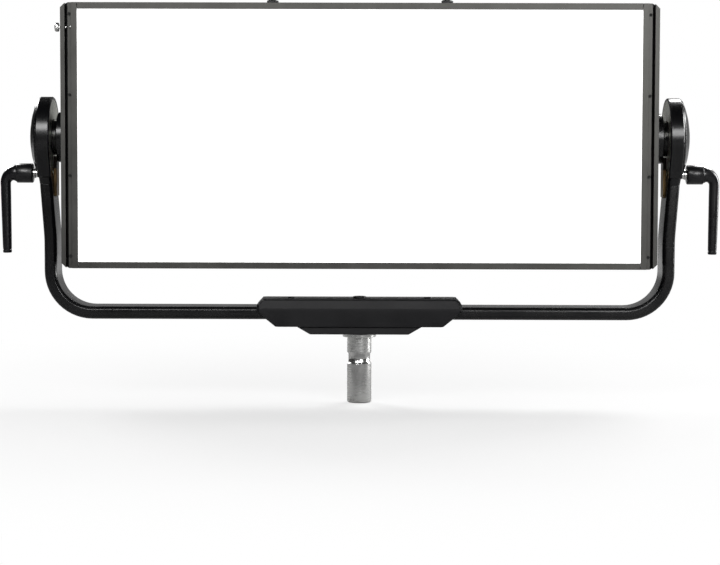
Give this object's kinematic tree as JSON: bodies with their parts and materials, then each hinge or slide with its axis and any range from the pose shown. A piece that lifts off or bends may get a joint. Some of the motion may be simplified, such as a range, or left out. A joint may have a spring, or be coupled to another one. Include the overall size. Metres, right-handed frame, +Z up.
{
  "type": "led panel light",
  "caption": "Soft rectangular LED panel in a U-shaped yoke with a lever-locked tilt joint at each side, on a stand spigot.",
  "frame": {"origin": "centre of the spigot's lower end face, under the middle of the yoke", "axes": "+Z up along the spigot, +X to the viewer's right along the tilt axis, the lit face looks along -Y"},
  "size_m": [0.8262, 0.1758, 0.4602],
  "materials": {
    "powder_black": "fine textured black powder coat",
    "satin_black": "smooth satin black powder coat",
    "anodised_grey": "dark grey anodised extrusion",
    "plastic_black": "moulded, lightly grained",
    "rubber_black": "matt",
    "steel": "turned, plain",
    "steel_black": "black oxide",
    "bronze": "plain, slightly dull",
    "liner_grey": "plain moulded friction disc",
    "diffuser_white": "opal acrylic, lit",
    "reflector_white": "matt white",
    "board_green": "solder mask",
    "board_white": "white solder mask on a metal core",
    "zinc_plate": "zinc plated case",
    "display_glass": "dark glossy window",
    "aluminium_black": "black anodised extrusion"
  },
  "bodies": {
    "yoke": {"spigot": "steel", "spigot_bolt": "steel_black", "spigot_plate": "powder_black", "base_casting": "powder_black", "yoke_tube": "satin_black", "clamp_screw_left": "steel_black", "yoke_head_left": "satin_black", "head_cover_left": "satin_black", "head_liner_left": "liner_grey", "pivot_bush_left": "bronze", "clamp_screw_right": "steel_black", "yoke_head_right": "satin_black", "head_cover_right": "satin_black", "head_liner_right": "liner_grey", "pivot_bush_right": "bronze"},
    "panel": {"housing": "powder_black", "frame_rail_top": "anodised_grey", "frame_rail_bottom": "anodised_grey", "diffuser": "diffuser_white", "reflector": "reflector_white", "led_board": "board_white", "rear_cover": "powder_black", "power_supply": "zinc_plate", "driver_board": "board_green", "control_bezel": "plastic_black", "display": "display_glass", "power_inlet": "plastic_black", "dmx_input": "plastic_black", "dmx_output": "plastic_black", "ethernet_port": "plastic_black", "frame_rail_left": "anodised_grey", "heatsink_left": "aluminium_black", "rear_handle_left": "rubber_black", "pivot_hub_left": "satin_black", "rail_screw_left_1": "steel_black", "rail_screw_left_2": "steel_black", "rail_screw_left_3": "steel_black", "rail_screw_left_4": "steel_black", "frame_rail_right": "anodised_grey", "heatsink_right": "aluminium_black", "rear_handle_right": "rubber_black", "pivot_hub_right": "satin_black", "rail_screw_right_1": "steel_black", "rail_screw_right_2": "steel_black", "rail_screw_right_3": "steel_black", "rail_screw_right_4": "steel_black"},
    "tilt_lever_left": {"lever_left": "plastic_black", "lock_screw_left": "steel"},
    "tilt_brake_left": {"brake_leaf_left": "bronze"},
    "captive_screw_left": {"top_screw_left": "steel_black"},
    "tilt_lever_right": {"lever_right": "plastic_black", "lock_screw_right": "steel"},
    "tilt_brake_right": {"brake_leaf_right": "bronze"},
    "captive_screw_right": {"top_screw_right": "steel_black"},
    "latch": {"latch_plunger": "steel"},
    "dial_a": {"knob_a": "plastic_black"},
    "push_button_a": {"button_a": "rubber_black"},
    "dial_b": {"knob_b": "plastic_black"},
    "push_button_b": {"button_b": "rubber_black"},
    "mains_switch": {"power_switch": "plastic_black"}
  },
  "joints": [
    {"name": "panel_tilt", "type": "hinge", "parent": "yoke", "child": "panel", "pos_m": [0, 0, 0.3044], "axis": [1, 0, 0], "range_deg": [-90, 90]},
    {"name": "lever_turn_left", "type": "hinge", "parent": "yoke", "child": "tilt_lever_left", "pos_m": [-0.375, 0, 0.2633], "axis": [-1, 0, 0], "range_deg": [0, 180]},
    {"name": "brake_slide_left", "type": "slide", "parent": "yoke", "child": "tilt_brake_left", "axis": [-1, 0, 0], "range_m": [0, 0.00065]},
    {"name": "captive_screw_turn_left", "type": "hinge", "parent": "panel", "child": "captive_screw_left", "pos_m": [-0.0985, -0.03, 0.4602], "axis": [0, 0, 1], "continuous": true},
    {"name": "lever_turn_right", "type": "hinge", "parent": "yoke", "child": "tilt_lever_right", "pos_m": [0.375, 0, 0.2633], "axis": [1, 0, 0], "range_deg": [0, 180]},
    {"name": "brake_slide_right", "type": "slide", "parent": "yoke", "child": "tilt_brake_right", "axis": [1, 0, 0], "range_m": [0, 0.00065]},
    {"name": "captive_screw_turn_right", "type": "hinge", "parent": "panel", "child": "captive_screw_right", "pos_m": [0.0985, -0.03, 0.4602], "axis": [0, 0, 1], "continuous": true},
    {"name": "latch_pull", "type": "slide", "parent": "panel", "child": "latch", "axis": [-1, 0, 0], "range_m": [0, 0.005], "stiffness_N_per_m": 600, "springref_m": -0.004},
    {"name": "dial_turn_a", "type": "hinge", "parent": "panel", "child": "dial_a", "pos_m": [0.028, 0.092, 0.388], "axis": [0, 1, 0], "continuous": true},
    {"name": "button_press_a", "type": "slide", "parent": "panel", "child": "push_button_a", "axis": [0, -1, 0], "range_m": [0, 0.0008], "stiffness_N_per_m": 1200, "springref_m": -0.001},
    {"name": "dial_turn_b", "type": "hinge", "parent": "panel", "child": "dial_b", "pos_m": [0.068, 0.092, 0.388], "axis": [0, 1, 0], "continuous": true},
    {"name": "button_press_b", "type": "slide", "parent": "panel", "child": "push_button_b", "axis": [0, -1, 0], "range_m": [0, 0.0008], "stiffness_N_per_m": 1200, "springref_m": -0.001},
    {"name": "mains_switch_rock", "type": "hinge", "parent": "panel", "child": "mains_switch", "pos_m": [0.07, 0.071, 0.2175], "axis": [1, 0, 0], "range_deg": [-14, 0]}
  ],
  "couplings": [
    {"joint": "brake_slide_left", "follows": "lever_turn_left", "m_per_rad": 0.000199},
    {"joint": "brake_slide_right", "follows": "lever_turn_right", "m_per_rad": 0.000199}
  ]
}
